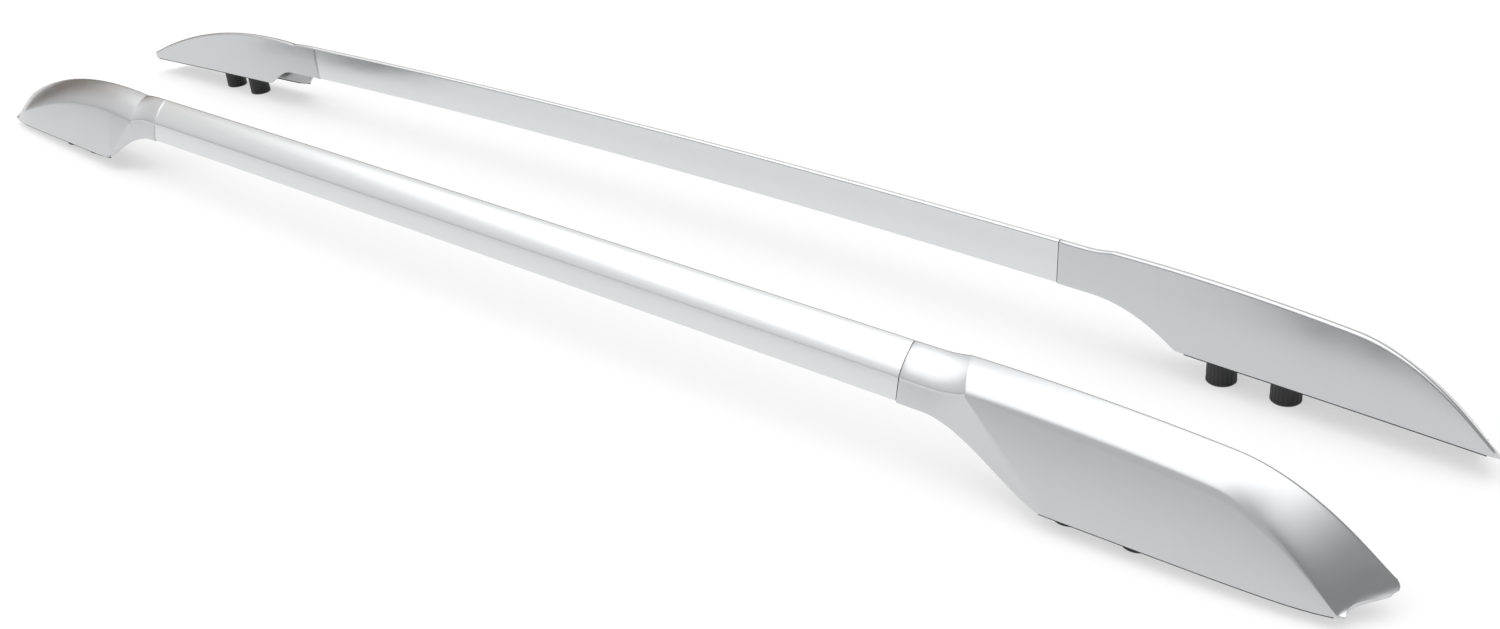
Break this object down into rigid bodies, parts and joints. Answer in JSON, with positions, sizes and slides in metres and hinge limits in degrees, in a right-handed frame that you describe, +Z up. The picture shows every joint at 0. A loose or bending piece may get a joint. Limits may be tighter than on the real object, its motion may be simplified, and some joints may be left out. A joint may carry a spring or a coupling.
{
  "type": "roof side rail pair",
  "caption": "Mirrored pair of raised roof side rails: curved hollow bars between swept end covers, standing on rubber bushes with threaded sleeves.",
  "frame": {"origin": "midway between the two rails and their tips, on the plane of the bushes' lower ends", "axes": "+X to the vehicle's front, +Y to its left, +Z up; the rails run along X"},
  "size_m": [1.8002, 0.2888, 0.099],
  "materials": {
    "bar": "satin anodised",
    "cover": "satin silver paint on plastic",
    "seal": "matte black",
    "casting": "as cast",
    "bush": "matte black",
    "steel": "zinc plated"
  },
  "bodies": {
    "root": {"right_bar": "bar", "right_front_cover": "cover", "right_rear_cover": "cover", "right_front_seal": "seal", "right_rear_seal": "seal", "right_front_foot": "casting", "right_rear_foot": "casting", "right_front_bush_1": "bush", "right_front_bush_2": "bush", "right_rear_bush_1": "bush", "right_rear_bush_2": "bush", "right_front_sleeves": "steel", "right_rear_sleeves": "steel", "right_front_cover_screw": "steel", "right_rear_cover_screw": "steel", "right_front_bar_screws": "steel", "right_rear_bar_screws": "steel", "left_bar": "bar", "left_front_cover": "cover", "left_rear_cover": "cover", "left_front_seal": "seal", "left_rear_seal": "seal", "left_front_foot": "casting", "left_rear_foot": "casting", "left_front_bush_1": "bush", "left_front_bush_2": "bush", "left_rear_bush_1": "bush", "left_rear_bush_2": "bush", "left_front_sleeves": "steel", "left_rear_sleeves": "steel", "left_front_cover_screw": "steel", "left_rear_cover_screw": "steel", "left_front_bar_screws": "steel", "left_rear_bar_screws": "steel"}
  },
  "joints": []
}
